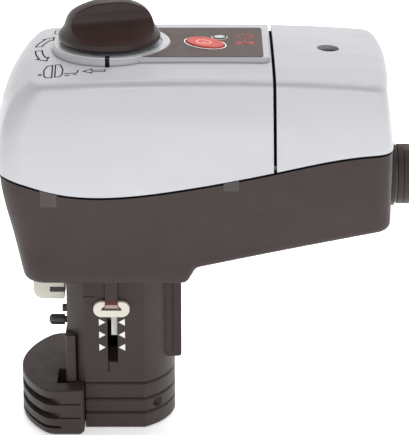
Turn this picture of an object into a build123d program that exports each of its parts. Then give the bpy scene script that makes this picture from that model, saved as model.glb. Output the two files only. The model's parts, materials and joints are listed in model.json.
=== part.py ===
from build123d import *
import math
import os

# Motorized valve actuator. Millimetres, +Z up, X along the housing towards the cable entry.
# The origin is on the valve stem's axis, level with the underside of the foot.
# The nodes are drawn about the casing's own middle and saved with the stem's axis at X = 0.

# ---------------------------------------------------------------- driving dimensions
AXIS_X = -1.0  # where the stem's axis runs in the casing
FOOT_LEDGES = (0.0, 7.5, 14.1, 21.7)  # heights of the foot's ledges
FOOT_TOP = FOOT_LEDGES[-1]
NECK_R = 15.0  # bore that takes the valve's neck
FLOOR_Z = 76.0  # underside of the lower housing
PANEL_Z = 167.0  # top of the raised platform
COVER_WALL = 2.4
HOUSING_WALL = 3.0
HOUSING_INSET = 0.5  # how far the lower housing stands inside the covers' outline
PART_GAP = 0.5  # shadow gap between covers and lower housing
SEAM_X = 66.9  # gap between the two covers, at the height of the parting line
SEAM_GAP = 1.3
SEAM_TILT = 1.0  # degrees
RUN = 0.05  # radial clearance of a running fit
SLIDE_GAP = 0.3  # clearance of loose sliding parts
COLUMN_R = 25.4
COLUMN_HALF = 22.0
COLUMN_LEFT = -20.5
CAVITY_R = 19.0
SLOT_LEFT = AXIS_X - 2.0
SLOT_RIGHT = AXIS_X + 2.4
SLOT_LOW = 31.2
SLOT_HIGH = 68.0
CLIP_Z = 56.7
NOSE_R = 41.4
NOSE_HALF = 30.0
JAW_FACE = -13.3
CLAMP_Y = 17.6  # clamp screws, either side of the neck
CLAMP_Z = 10.4
KNOB_BASE = 169.0
KNOB_TOP = 185.0
KNOB_R = 21.1
KNOB_TURN = 16.0  # degrees, how the grip stands at rest
MODULE = 1.0
OUTPUT_TEETH = 60
IDLER_TEETH = 36
PINION_TEETH = 12
BACKLASH = 0.16
LOWER_PLATE_Z = 92.0
UPPER_PLATE_Z = 113.0
PLATE_T = 2.0
BOARD_Z = 148.0
BOARD_T = 1.6
GLAND_Y = -10.0
GLAND_Z = 112.7
CABLE_R = 3.5
BUTTON_AT = (38.6, -2.0)
BUTTON_AXES = (9.2, 5.8)
BUTTON_SKEW = -42.0
LED_AT = (44.6, 6.6)
COVER_SCREW_AT = (89.5, 0.0)

# Height, left end, right end and half width of the casing.
STATIONS = (
    (74, -38.4, 113.6, 42.0),
    (92, -42.4, 115.9, 43.3),
    (108, -46.0, 117.0, 44.4),
    (120, -47.9, 117.0, 45.0),
    (132, -48.0, 116.8, 44.8),
    (144, -46.0, 115.7, 44.2),
    (153, -42.3, 114.6, 43.2),
    (160, -36.6, 113.2, 42.0),
    (169, -26.0, 110.4, 40.2),
)
# X and height of the casing's crown; towards the long sides it drops by CROWN_DROP over 60 mm.
CROWN = ((-75, 158.0), (-28, 163.8), (0, 165.2), (40, 165.6), (75, 165.1), (108, 163.2), (135, 160.4))
CROWN_DROP = 5.2
# Parting line between covers and lower housing, seen from the side.
PARTING = (
    (-52, 124.4),
    (-47.2, 123.7),
    (-42.3, 122.9),
    (-36, 121.1),
    (-24, 117.3),
    (0, 115.2),
    (28, 118.4),
    (66.7, 125.9),
    (100.7, 132.6),
    (112, 133.6),
    (124, 134.4),
)

os.makedirs("parts", exist_ok=True)


def save(builder, label):
    node = builder.part.moved(Location((-AXIS_X, 0, 0)))
    node.label = label
    export_step(node, f"parts/{label}.step")


# ---------------------------------------------------------------- casing form
def crown_form(inset):
    """Everything under the casing's doubly curved top."""
    with BuildPart() as under:
        for x, height in CROWN:
            with BuildSketch(Plane.YZ.offset(x)):
                with BuildLine():
                    edge = height - CROWN_DROP - inset
                    Polyline((-60, edge), (-60, 60), (60, 60), (60, edge))
                    ThreePointArc((60, edge), (0, height - inset), (-60, edge))
                make_face()
        loft()
    return under.part


def casing_form(inset):
    """The casing's outer form, moved inwards by inset."""
    with BuildPart() as form:
        for height, left, right, half in STATIONS:
            left, right, half = left + inset, right - inset, half - inset
            left_sag, right_sag = 4.0, 3.0
            with BuildSketch(Plane.XY.offset(height)) as outline:
                with BuildLine():
                    ThreePointArc((left + left_sag, half), (left, 0), (left + left_sag, -half))
                    Line((left + left_sag, -half), (right - right_sag, -half))
                    ThreePointArc((right - right_sag, -half), (right, 0), (right - right_sag, half))
                    Line((right - right_sag, half), (left + left_sag, half))
                make_face()
                fillet(outline.vertices().group_by(Axis.X)[0], 10.0 - inset)
                fillet(outline.vertices().group_by(Axis.X)[-1], 6.5 - inset)
        loft()
        # underside: flat round the column, then rising towards the cable entry
        with BuildSketch(Plane.XZ) as side:
            with BuildLine():
                Polyline(
                    (-60, 170), (-60, FLOOR_Z + inset), (31.0, FLOOR_Z + inset),
                    (35.0 - inset * 0.4, 82.4 + inset), (130, 102.3 + inset), (130, 170), (-60, 170),
                )
            make_face()
            fillet(side.vertices().sort_by(Axis.X)[2:-2], 3.4)
        extrude(amount=60, both=True, mode=Mode.INTERSECT)
        add(crown_form(inset), mode=Mode.INTERSECT)
    return form.part


def rounded_top(form, radius):
    """The same form with its top edge rounded."""
    with BuildPart() as soft:
        add(form)
        rim = [e for e in soft.edges() if e.center().Z > 156 and e.bounding_box().size.Z < 12]
        fillet(rim, radius)
    return soft.part


def rounded_bottom(form, radius):
    """The same form with the edges round its underside rounded."""
    with BuildPart() as soft:
        add(form)
        low = []
        for edge in soft.edges():
            span = edge.bounding_box().size
            crossing = span.Y > 60 and 20 < edge.center().X < 60
            if edge.center().Z < 108 and span.Z < 30 and not crossing:
                low.append(edge)
        fillet(low, radius)
    return soft.part


def below_parting(gap):
    """Everything under the parting line, lowered by gap."""
    with BuildPart() as below:
        with BuildSketch(Plane.XZ):
            with BuildLine():
                points = [(x, z - gap) for x, z in PARTING]
                Spline(*points)
                Polyline(points[-1], (points[-1][0], 60), (points[0][0], 60), points[0])
            make_face()
        extrude(amount=60, both=True)
    return below.part


def terminal_side(offset):
    """Everything on the cable side of the tilted seam between the covers."""
    with BuildPart() as region:
        with BuildSketch(Plane.XZ):
            with BuildLine():
                lean = 50 * math.tan(math.radians(SEAM_TILT))
                foot, head = SEAM_X + offset + 0.2 * lean, SEAM_X + offset - 0.8 * lean
                Polyline((foot, 116), (head, 166), (head, 190), (150, 190), (150, 116), (foot, 116))
            make_face()
        extrude(amount=60, both=True)
    return region.part


outer_form = rounded_top(casing_form(0), 4.5)
cover_hollow = rounded_top(casing_form(COVER_WALL), 2.4)
tongue_outside = rounded_top(casing_form(COVER_WALL + SLIDE_GAP), 2.2)
tongue_inside = rounded_top(casing_form(COVER_WALL + SLIDE_GAP + 1.4), 1.6)
housing_form = rounded_bottom(casing_form(HOUSING_INSET), 3.0)
housing_hollow = casing_form(HOUSING_INSET + HOUSING_WALL)
catch_depth = casing_form(HOUSING_INSET + 1.0)
under_covers = below_parting(0)
under_housing_rim = below_parting(PART_GAP)
beyond_seam = terminal_side(-SEAM_GAP / 2)
beyond_gap = terminal_side(SEAM_GAP / 2)

# places that several pieces share
PILLARS = [(-24.0, -26.0), (-24.0, 26.0), (54.0, -26.0), (54.0, 26.0)]
COVER_POSTS = [(-27.0, -36.0), (-27.0, 36.0), (58.0, -36.5), (58.0, 36.5)]
YOKE_SCREWS = [(15.6, 15.6), (15.6, -15.6), (-15.6, 15.6), (-15.6, -15.6)]
BOARD_POSTS = [(27.0, -26.0), (27.0, 26.0), (57.0, -18.0), (57.0, 18.0)]
TERMINAL_POSTS = [(76.0, -30.0), (76.0, 30.0)]
TERMINAL_BOARD_Z = 120.0
CATCHES = [(-24.9, 114.3, 6.5, 7.0), (49.2, 120.4, 6.2, 5.1)]  # centre x, z, width, height
LATCH_X, LATCH_Y = -28.5, -1.0
LATCH_HALF = (6.6, 6.0)


def rod(x, y, low, high, radius):
    """An upright cylinder between two heights."""
    with BuildPart() as made:
        with BuildSketch(Plane.XY.offset(low)):
            with Locations((x, y)):
                Circle(radius)
        extrude(amount=high - low)
    return made.part


def tube(x, low, high, outer, inner):
    """An upright tube about an axis at x."""
    with BuildPart() as made:
        with BuildSketch(Plane.XY.offset(low)):
            with Locations((x, 0)):
                Circle(outer)
                Circle(inner, mode=Mode.SUBTRACT)
        extrude(amount=high - low)
    return made.part


def block(x0, x1, y0, y1, z0, z1):
    """A box between two corners."""
    with BuildPart() as made:
        with BuildSketch(Plane.XY.offset(z0)):
            with Locations(((x0 + x1) / 2, (y0 + y1) / 2)):
                Rectangle(abs(x1 - x0), abs(y1 - y0))
        extrude(amount=z1 - z0)
    return made.part


def across(x0, x1, y, z, radius):
    """A cylinder along X."""
    with BuildPart() as made:
        with BuildSketch(Plane.YZ.offset(x0)):
            with Locations((y, z)):
                Circle(radius)
        extrude(amount=x1 - x0)
    return made.part


# ---------------------------------------------------------------- lower housing
with BuildPart() as lower_housing:
    add(housing_form)
    add(housing_hollow, mode=Mode.SUBTRACT)
    # posts that carry the gear frame, the covers and the boards
    for x, y in PILLARS:
        add(rod(x, y, FLOOR_Z + 1, LOWER_PLATE_Z, 4.0) & housing_form)
    for x, y in COVER_POSTS:
        add(rod(x, y, FLOOR_Z + 1, 112, 4.0) & housing_form)
    for x, y in TERMINAL_POSTS:
        add(rod(x, y, FLOOR_Z + 1, TERMINAL_BOARD_Z, 3.5) & housing_form)
    add(rod(*COVER_SCREW_AT, FLOOR_Z + 1, 140, 5.0) & housing_form)
    add(across(108, 117.4, GLAND_Y, GLAND_Z, 13.4) & block(108, 118, -30, 10, 101, 130))
    add(under_housing_rim, mode=Mode.INTERSECT)
    add(rod(*COVER_SCREW_AT, 120, 140, 5.0))
    # openings
    add(across(100, 120, GLAND_Y, GLAND_Z, 8.2), mode=Mode.SUBTRACT)
    add(across(100, 111, GLAND_Y, GLAND_Z, 11.5), mode=Mode.SUBTRACT)
    add(rod(AXIS_X, 0, 70, 82, 7.0), mode=Mode.SUBTRACT)
    for x, y in YOKE_SCREWS:
        add(rod(x, y, 70, 80, 1.7), mode=Mode.SUBTRACT)
    for x, y in PILLARS:
        add(rod(x, y, LOWER_PLATE_Z - 3.5, LOWER_PLATE_Z + 1, 1.55), mode=Mode.SUBTRACT)
    for x, y in COVER_POSTS:
        add(rod(x, y, 60, 120, 1.7), mode=Mode.SUBTRACT)
        add(rod(x, y, 60, 94, 3.3), mode=Mode.SUBTRACT)
    add(rod(*COVER_SCREW_AT, 125, 141, 1.8), mode=Mode.SUBTRACT)
    latch = (LATCH_X - LATCH_HALF[0] - SLIDE_GAP, LATCH_X + LATCH_HALF[0] + SLIDE_GAP)
    depth = (LATCH_Y - LATCH_HALF[1] - SLIDE_GAP, LATCH_Y + LATCH_HALF[1] + SLIDE_GAP)
    add(block(*latch, *depth, 70, 82), mode=Mode.SUBTRACT)
    for x, z, wide, high in CATCHES:
        pocket = block(x - wide / 2, x + wide / 2, -60, 60, z - high / 2, z + high / 2)
        add(pocket - catch_depth, mode=Mode.SUBTRACT)
save(lower_housing, "lower_housing")

with BuildPart() as cover_catches:
    for x, z, wide, high in CATCHES:
        window = block(x - wide / 2, x + wide / 2, -60, 60, z - high / 2, z + high / 2)
        add((window & housing_form) - catch_depth)
    add(under_housing_rim, mode=Mode.INTERSECT)
save(cover_catches, "cover_catches")


# ---------------------------------------------------------------- covers
def panel_outline(grow):
    """Raised platform: a disc about the knob joined to a bar that runs to the seam."""
    Circle(24.6 + grow)
    with Locations((32.4, 0)):
        RectangleRounded(65.0 + 2 * grow, 43.0 + 2 * grow, 3.0)


with BuildPart() as main_cover:
    add(outer_form)
    with BuildSketch(Plane.XY.offset(160)):
        panel_outline(0)
    extrude(amount=PANEL_Z - 160)
    chamfer(main_cover.faces().sort_by(Axis.Z)[-1].edges(), 0.5)
    add(cover_hollow, mode=Mode.SUBTRACT)
    for x, y in COVER_POSTS:
        add(rod(x, y, 112.6, 164, 3.6) & outer_form)
    add(under_covers, mode=Mode.SUBTRACT)
    for x, y in COVER_POSTS:
        add(rod(x, y, 112.6, 164, 3.6) & (cover_hollow & block(-60, 70, -60, 60, 112.6, 170)))
        add(rod(x, y, 100, 130, 1.55), mode=Mode.SUBTRACT)
    add(beyond_seam, mode=Mode.SUBTRACT)
    add(rod(AXIS_X, 0, 158, 170, 7.0), mode=Mode.SUBTRACT)
    add(rod(AXIS_X, 0, 164.4, 170, 8.6), mode=Mode.SUBTRACT)
    add(tube(0, PANEL_Z - 0.4, 170, 24.1, 20.9), mode=Mode.SUBTRACT)
    with BuildSketch(Plane.XY.offset(PANEL_Z - 0.4)):
        with Locations((32.2, 0)):
            RectangleRounded(60.2, 41.4, 1.5)
        Circle(24.4, mode=Mode.SUBTRACT)
    extrude(amount=3, mode=Mode.SUBTRACT)
    with BuildSketch(Plane.XY.offset(155)):
        with Locations(Location(BUTTON_AT, BUTTON_SKEW)):
            Ellipse(BUTTON_AXES[0] + SLIDE_GAP, BUTTON_AXES[1] + SLIDE_GAP)
    extrude(amount=20, mode=Mode.SUBTRACT)
    add(rod(*LED_AT, 155, 175, 2.35), mode=Mode.SUBTRACT)
save(main_cover, "main_cover")

with BuildPart() as terminal_cover:
    add(outer_form)
    add(cover_hollow, mode=Mode.SUBTRACT)
    add(rod(*COVER_SCREW_AT, 140.6, 164, 5.4) & outer_form)
    add(beyond_gap, mode=Mode.INTERSECT)
    # tongue that reaches under the main cover and closes the seam
    add((tongue_outside - tongue_inside) & (terminal_side(-3.0) - terminal_side(3.0)))
    add((cover_hollow - tongue_inside) & (beyond_gap - terminal_side(3.0)))
    add(under_covers, mode=Mode.SUBTRACT)
    add(rod(*COVER_SCREW_AT, 130, 170, 2.2), mode=Mode.SUBTRACT)
    add(rod(*COVER_SCREW_AT, 159.4, 170, 4.6), mode=Mode.SUBTRACT)
save(terminal_cover, "terminal_cover")

with BuildPart() as terminal_cover_screw:
    add(rod(*COVER_SCREW_AT, 126, 160, 1.75))
    add(rod(*COVER_SCREW_AT, 159.4, 162.4, 4.2))
    fillet(terminal_cover_screw.faces().sort_by(Axis.Z)[-1].edges(), 0.6)
    with BuildSketch(Plane.XY.offset(161.0)):
        with Locations(COVER_SCREW_AT):
            Rectangle(5.6, 1.1)
            Rectangle(1.1, 5.6)
    extrude(amount=3, mode=Mode.SUBTRACT)
save(terminal_cover_screw, "terminal_cover_screw")

with BuildPart() as cover_screws:
    for x, y in COVER_POSTS:
        add(rod(x, y, 91.4, 125, 1.5))
        add(rod(x, y, 91.4, 94, 2.9))
save(cover_screws, "cover_screws")

with BuildPart() as housing_seal:
    add(casing_form(HOUSING_INSET + HOUSING_WALL))
    add(casing_form(HOUSING_INSET + HOUSING_WALL + 1.2), mode=Mode.SUBTRACT)
    add(below_parting(0.8), mode=Mode.INTERSECT)
    add(below_parting(3.2), mode=Mode.SUBTRACT)
    for x, y in COVER_POSTS:
        add(rod(x, y, 90, 150, 4.2), mode=Mode.SUBTRACT)
    add(across(100, 120, GLAND_Y, GLAND_Z, 13.6), mode=Mode.SUBTRACT)
save(housing_seal, "housing_seal")

# ---------------------------------------------------------------- control panel
with BuildPart() as label_panel:
    with BuildSketch(Plane.XY.offset(PANEL_Z - 0.4)):
        with Locations((32.2, 0)):
            RectangleRounded(60.0, 41.2, 1.4)
        Circle(24.5, mode=Mode.SUBTRACT)
        with Locations(Location(BUTTON_AT, BUTTON_SKEW)):
            Ellipse(BUTTON_AXES[0] + SLIDE_GAP, BUTTON_AXES[1] + SLIDE_GAP, mode=Mode.SUBTRACT)
        with Locations(LED_AT):
            Circle(2.35, mode=Mode.SUBTRACT)
    extrude(amount=0.6)
save(label_panel, "label_panel")

with BuildPart() as scale_ring:
    add(tube(0, PANEL_Z - 0.4, PANEL_Z + 0.5, 24.05, 20.95))
save(scale_ring, "scale_ring")

with BuildPart() as function_button:
    for low, high, grow in ((161.0, 162.4, 0.9), (161.0, PANEL_Z + 0.9, 0.0)):
        with BuildSketch(Plane.XY.offset(low)):
            with Locations(Location(BUTTON_AT, BUTTON_SKEW)):
                Ellipse(BUTTON_AXES[0] + grow, BUTTON_AXES[1] + grow)
        extrude(amount=high - low)
    fillet(function_button.faces().sort_by(Axis.Z)[-1].edges(), 0.4)
    add(rod(*BUTTON_AT, 156.4, 161.0, 1.8))
save(function_button, "function_button")

with BuildPart() as button_dome:
    add(rod(*BUTTON_AT, BOARD_Z + BOARD_T, 161.0, 5.6) - rod(*BUTTON_AT, 140, 170, 4.9))
save(button_dome, "button_dome")

with BuildPart() as tact_switch:
    x, y = BUTTON_AT
    add(block(x - 3, x + 3, y - 3, y + 3, BOARD_Z + BOARD_T, 154))
    add(rod(*BUTTON_AT, 154, 155.4, 1.7))
save(tact_switch, "tact_switch")

with BuildPart() as status_lens:
    add(rod(*LED_AT, BOARD_Z + BOARD_T + 2.2, PANEL_Z + 0.5, 2.3))
save(status_lens, "status_lens")

with BuildPart() as status_lamp:
    add(rod(*LED_AT, BOARD_Z + BOARD_T, BOARD_Z + BOARD_T + 2.0, 1.8))
save(status_lamp, "status_lamp")

with BuildPart() as lens_bezel:
    add(rod(*LED_AT, PANEL_Z + 0.2, PANEL_Z + 0.6, 2.9) - rod(*LED_AT, 160, 170, 2.35))
save(lens_bezel, "lens_bezel")

# ---------------------------------------------------------------- circuit boards
with BuildPart() as circuit_board:
    with BuildSketch(Plane.XY.offset(BOARD_Z)):
        with Locations((42.0, 0)):
            RectangleRounded(40.0, 66.0, 2.0)
        with Locations((62.0, 32.0), (62.0, -32.0)):
            Circle(9.5, mode=Mode.SUBTRACT)
        with Locations(BOARD_POSTS):
            Circle(1.5, mode=Mode.SUBTRACT)
    extrude(amount=BOARD_T)
save(circuit_board, "circuit_board")

with BuildPart() as board_posts:
    for x, y in BOARD_POSTS:
        add(rod(x, y, UPPER_PLATE_Z + PLATE_T, BOARD_Z, 2.8))
        add(rod(x, y, BOARD_Z, BOARD_Z + BOARD_T + 1.5, 1.45))
save(board_posts, "board_posts")

with BuildPart() as capacitors:
    for y in (-10.0, 12.0):
        add(rod(54.0, y, BOARD_Z + BOARD_T, 158.5, 3.6))
    fillet(capacitors.faces().filter_by(Axis.Z).group_by(Axis.Z)[-1].edges(), 0.6)
save(capacitors, "capacitors")

with BuildPart() as terminal_board:
    add(block(69.6, 83.0, -34, 34, TERMINAL_BOARD_Z, TERMINAL_BOARD_Z + BOARD_T))
save(terminal_board, "terminal_board")

TERMINAL_Y = [-24.0 + 6.0 * i for i in range(9)]
with BuildPart() as terminal_block:
    add(block(71, 82, -27.5, 27.5, TERMINAL_BOARD_Z + BOARD_T, 133))
    chamfer(terminal_block.edges().filter_by(Axis.Y).group_by(Axis.Z)[-1][-1], 2.0)
    for y in TERMINAL_Y:
        add(rod(75.0, y, 125, 134, 2.05), mode=Mode.SUBTRACT)
        add(block(77.5, 84, y - 1.7, y + 1.7, 123.6, 127.4), mode=Mode.SUBTRACT)
save(terminal_block, "terminal_block")

with BuildPart() as terminal_screws:
    for y in TERMINAL_Y:
        add(rod(75.0, y, 125, 131.6, 2.0) - block(73.3, 76.7, y - 0.35, y + 0.35, 130.8, 132))
save(terminal_screws, "terminal_screws")

# ---------------------------------------------------------------- cable entry
with BuildPart() as gland_body:
    add(across(104, 117.45, GLAND_Y, GLAND_Z, 8.0))
    add(across(117.45, 121.4, GLAND_Y, GLAND_Z, 11.4))
    add(across(117.45, 118.4, GLAND_Y, GLAND_Z, 12.3))
    add(across(100, 125, GLAND_Y, GLAND_Z, 6.2), mode=Mode.SUBTRACT)
save(gland_body, "gland_body")

with BuildPart() as gland_cap:
    add(across(118.7, 125.0, GLAND_Y, GLAND_Z, 12.6))
    fillet(gland_cap.faces().sort_by(Axis.X)[-1].edges(), 2.0)
    add(across(118.7, 121.7, GLAND_Y, GLAND_Z, 11.45), mode=Mode.SUBTRACT)
    add(across(100, 130, GLAND_Y, GLAND_Z, 7.6), mode=Mode.SUBTRACT)
    groove = across(120.9, 121.3, GLAND_Y, GLAND_Z, 20) - across(120, 122, GLAND_Y, GLAND_Z, 12.2)
    add(groove, mode=Mode.SUBTRACT)
    # flats for a spanner
    for hand in (-1, 1):
        add(block(121.3, 130, -30, 10, GLAND_Z + 11.9 * hand, GLAND_Z + 20 * hand), mode=Mode.SUBTRACT)
save(gland_cap, "gland_cap")

with BuildPart() as gland_grommet:
    add(across(121.7, 124.0, GLAND_Y, GLAND_Z, 7.5))
    add(across(120, 126, GLAND_Y, GLAND_Z, CABLE_R), mode=Mode.SUBTRACT)
save(gland_grommet, "gland_grommet")

with BuildPart() as gland_locknut:
    with BuildSketch(Plane.YZ.offset(104.6)):
        with Locations((GLAND_Y, GLAND_Z)):
            RegularPolygon(10.6, 6)
            Circle(8.05, mode=Mode.SUBTRACT)
    extrude(amount=111 - 104.6)
save(gland_locknut, "gland_locknut")

# ---------------------------------------------------------------- yoke
def column_outline():
    Circle(COLUMN_R)
    Rectangle(120, 2 * COLUMN_HALF, mode=Mode.INTERSECT)


def foot_ledge(low, high):
    """One layer of the foot's right half: a flatted disc with chamfered edges."""
    slope, relief = 1.2, 0.45
    with BuildPart() as ledge:
        for plane, reach in ((Plane.XZ, COLUMN_R), (Plane.YZ, COLUMN_HALF)):
            with BuildSketch(plane):
                with BuildLine():
                    Polyline(
                        (0, low), (reach - relief, low), (reach, low + relief),
                        (reach, high - slope), (reach - slope, high), (0, high), (0, low),
                    )
                make_face()
                if plane == Plane.YZ:
                    mirror(about=Plane.YZ)
            if plane == Plane.XZ:
                revolve(axis=Axis.Z)
            else:
                extrude(amount=60, both=True, mode=Mode.INTERSECT)
        add(block(JAW_FACE + SLIDE_GAP, 60, -60, 60, -1, 30), mode=Mode.INTERSECT)
    return ledge.part


with BuildPart() as yoke:
    with BuildSketch(Plane.XY.offset(FOOT_TOP)):
        column_outline()
        with Locations((COLUMN_LEFT + 50, 0)):
            Rectangle(100, 100, mode=Mode.INTERSECT)
    extrude(amount=FLOOR_Z - FOOT_TOP)
    # stiffening rib on the cable side, in two steps
    for face_y, left, reach, low in ((8.0, 22.0, 28.4, 29.4), (9.6, 20.5, 24.4, 31.0)):
        with BuildSketch(Plane.XZ.offset(face_y)) as rib:
            with BuildLine():
                Polyline((left, FLOOR_Z), (left, low), (reach, low), (reach, FLOOR_Z), (left, FLOOR_Z))
            make_face()
            fillet(rib.vertices().group_by(Axis.Y)[0].sort_by(Axis.X)[-1], 1.4)
        extrude(amount=4.0)
    # foot
    for low, high in zip(FOOT_LEDGES[:-1], FOOT_LEDGES[1:]):
        add(foot_ledge(low, high))
    # post at the column's front corner, beside the jaw
    with BuildSketch(Plane.XY.offset(FOOT_TOP + 0.3)) as post:
        with Locations((-18.8, -15.8)):
            RectangleRounded(4.4, 12.0, 1.2)
    extrude(amount=43.0 - FOOT_TOP)
    add(rod(AXIS_X, 0, -1, FOOT_TOP, NECK_R), mode=Mode.SUBTRACT)
    cavity = rod(AXIS_X, 0, FOOT_TOP, FLOOR_Z - 3, CAVITY_R) & block(-17.4, 30, -30, 30, 0, 90)
    add(cavity, mode=Mode.SUBTRACT)
    add(rod(AXIS_X, 0, 60, 80, 7.0), mode=Mode.SUBTRACT)
    add(block(SLOT_LEFT, SLOT_RIGHT, -27, -15, SLOT_LOW, SLOT_HIGH), mode=Mode.SUBTRACT)
    add(block(SLOT_LEFT, SLOT_LEFT + 0.8, -23, -COLUMN_HALF + 0.6, 27, SLOT_LOW), mode=Mode.SUBTRACT)
    for x, y in YOKE_SCREWS:
        add(rod(x, y, 64, 77, 1.55), mode=Mode.SUBTRACT)
    # lock plunger, guide screw and clamp screws
    add(across(-21, -15, 0, 41.5, 2.6), mode=Mode.SUBTRACT)
    add(across(-21, -15, 0, 47.0, 1.25), mode=Mode.SUBTRACT)
    for y in (-CLAMP_Y, CLAMP_Y):
        add(across(-15, 30, y, CLAMP_Z, 1.55), mode=Mode.SUBTRACT)
        add(across(13, 30, y, CLAMP_Z, 2.0), mode=Mode.SUBTRACT)
    # shallow step line on the column's front
    add(block(-21, -8, -23, -COLUMN_HALF + 0.4, 61.4, 62.1), mode=Mode.SUBTRACT)
save(yoke, "yoke")

with BuildPart() as clamp_jaw:
    with BuildSketch(Plane.XY.offset(0.3)) as nose:
        Circle(NOSE_R)
        Rectangle(120, 2 * NOSE_HALF, mode=Mode.INTERSECT)
        with Locations((JAW_FACE - 50, 0)):
            Rectangle(100, 100, mode=Mode.INTERSECT)
        fillet(nose.vertices().group_by(Axis.X)[0], 8.0)
        fillet(nose.vertices().group_by(Axis.X)[-1], 2.5)
    extrude(amount=FOOT_TOP - 0.6)
    chamfer(clamp_jaw.faces().sort_by(Axis.Z)[-1].edges(), 0.5)
    chamfer(clamp_jaw.faces().sort_by(Axis.Z)[0].edges(), 1.0)
    for low, high in ((14.5, 17.8), (8.0, 11.1), (3.5, 4.7)):
        add(tube(0, low, high, 60, 37.6) & block(-70, JAW_FACE - 1, -60, 60, 0, 30), mode=Mode.SUBTRACT)
    for z in (14.5, 8.0):
        for hand in (-1, 1):
            add(block(-60, 0, hand * (NOSE_HALF - 0.6), hand * 40, z, z + 0.8), mode=Mode.SUBTRACT)
    add(rod(AXIS_X, 0, -1, 30, NECK_R), mode=Mode.SUBTRACT)
    add(block(-25.0, -20.2, -22.4, -7.8, 14.5, 30), mode=Mode.SUBTRACT)
    for y in (-CLAMP_Y, CLAMP_Y):
        add(across(-32, -10, y, CLAMP_Z, 1.35), mode=Mode.SUBTRACT)
save(clamp_jaw, "clamp_jaw")

for side, y in (("front", -CLAMP_Y), ("back", CLAMP_Y)):
    with BuildPart() as clamp_screw:
        add(across(-30.5, 14, y, CLAMP_Z, 1.3))
        add(across(13.0, 16.0, y, CLAMP_Z, 1.9))
        with BuildSketch(Plane.YZ.offset(14.4)):
            with Locations((y, CLAMP_Z)):
                RegularPolygon(1.2, 6)
        extrude(amount=5, mode=Mode.SUBTRACT)
    save(clamp_screw, f"clamp_screw_{side}")

with BuildPart() as stroke_marks:
    for z in (49.9, 44.05, 38.2):
        for hand in (-1, 1):
            with BuildSketch(Plane.XZ.offset(COLUMN_HALF)):
                with BuildLine():
                    tip, base = AXIS_X + hand * 2.8, AXIS_X + hand * 5.5
                    Polyline((tip, z), (base, z + 1.55), (base, z - 1.55), (tip, z))
                make_face()
            extrude(amount=0.25)
save(stroke_marks, "stroke_marks")

with BuildPart() as yoke_screws:
    for x, y in YOKE_SCREWS:
        add(rod(x, y, 65, FLOOR_Z + HOUSING_WALL + HOUSING_INSET + 1, 1.5))
        add(rod(x, y, FLOOR_Z + HOUSING_WALL + HOUSING_INSET, 82, 2.8))
save(yoke_screws, "yoke_screws")

with BuildPart() as guide_screw:
    add(across(-23.3, -20.5, 0, 47.0, 1.65))
    add(across(-20.5, -16.0, 0, 47.0, 1.2))
save(guide_screw, "guide_screw")

# ---------------------------------------------------------------- lock plunger
with BuildPart() as plunger_bush:
    add(across(-20.5, -17.4, 0, 41.5, 2.6))
    add(across(-30, 0, 0, 41.5, 1.5), mode=Mode.SUBTRACT)
save(plunger_bush, "plunger_bush")

with BuildPart() as lock_plunger:
    add(across(-24.0, -10.4, 0, 41.5, 1.45))
    add(across(-29.1, -22.4, 0, 41.5, 2.35))
    chamfer(lock_plunger.faces().sort_by(Axis.X)[0].edges(), 1.0)
    add(across(-12.0, -11.0, 0, 41.5, 3.0))
save(lock_plunger, "lock_plunger")

with BuildPart() as plunger_spring:
    add(across(-17.4, -12.0, 0, 41.5, 2.8) - across(-20, 0, 0, 41.5, 1.9))
save(plunger_spring, "plunger_spring")

# ---------------------------------------------------------------- release button
with BuildPart() as release_button:
    x0, x1 = LATCH_X - LATCH_HALF[0], LATCH_X + LATCH_HALF[0]
    y0, y1 = LATCH_Y - LATCH_HALF[1], LATCH_Y + LATCH_HALF[1]
    with BuildSketch(Plane.XZ.offset(-y1)) as hook:
        with BuildLine():
            Polyline((x0, 86), (x0, 54.2), (x1, 54.2), (x1, 86), (x0, 86))
        make_face()
        fillet(hook.vertices().group_by(Axis.Y)[0].sort_by(Axis.X)[0], 4.6)
    extrude(amount=y1 - y0)
    add(block(x0 + 7.0, x1 + 1, y0 - 1, y1 + 1, 57.4, 59.8), mode=Mode.SUBTRACT)
save(release_button, "release_button")

with BuildPart() as release_spring:
    add(rod(LATCH_X, LATCH_Y, 86, LOWER_PLATE_Z, 4.6) - rod(LATCH_X, LATCH_Y, 80, 96, 3.4))
save(release_spring, "release_spring")

# ---------------------------------------------------------------- spindle and indicator
SPINDLE_R = 4.0
with BuildPart() as spindle:
    add(rod(AXIS_X, 0, 53, 135, SPINDLE_R))
    chamfer(spindle.edges().group_by(Axis.Z)[-1], 0.8)
save(spindle, "spindle")

with BuildPart() as stem_connector:
    add(rod(AXIS_X, 0, 44, 61, 7.0))
    chamfer(stem_connector.edges().group_by(Axis.Z)[0], 0.8)
    add(rod(AXIS_X, 0, 53, 62, SPINDLE_R), mode=Mode.SUBTRACT)
    add(rod(AXIS_X, 0, 40, 52, 3.05), mode=Mode.SUBTRACT)
save(stem_connector, "stem_connector")

NOTCH_Z = CLIP_Z - 0.3  # foot of the flared stem in front of the column


def flared_outline(grow, foot, top):
    """The flared stem's outline seen from the front, widened by grow."""
    right = [
        (2.6 + grow, top),
        (2.6 + grow, foot + 2.0 + grow),
        (4.1 + grow, foot + 0.6 + grow),
        (4.1 + grow, foot),
    ]
    left = [(-x, z) for x, z in right[::-1]]
    return [(AXIS_X + x, z) for x, z in right + left + right[:1]]


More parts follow.
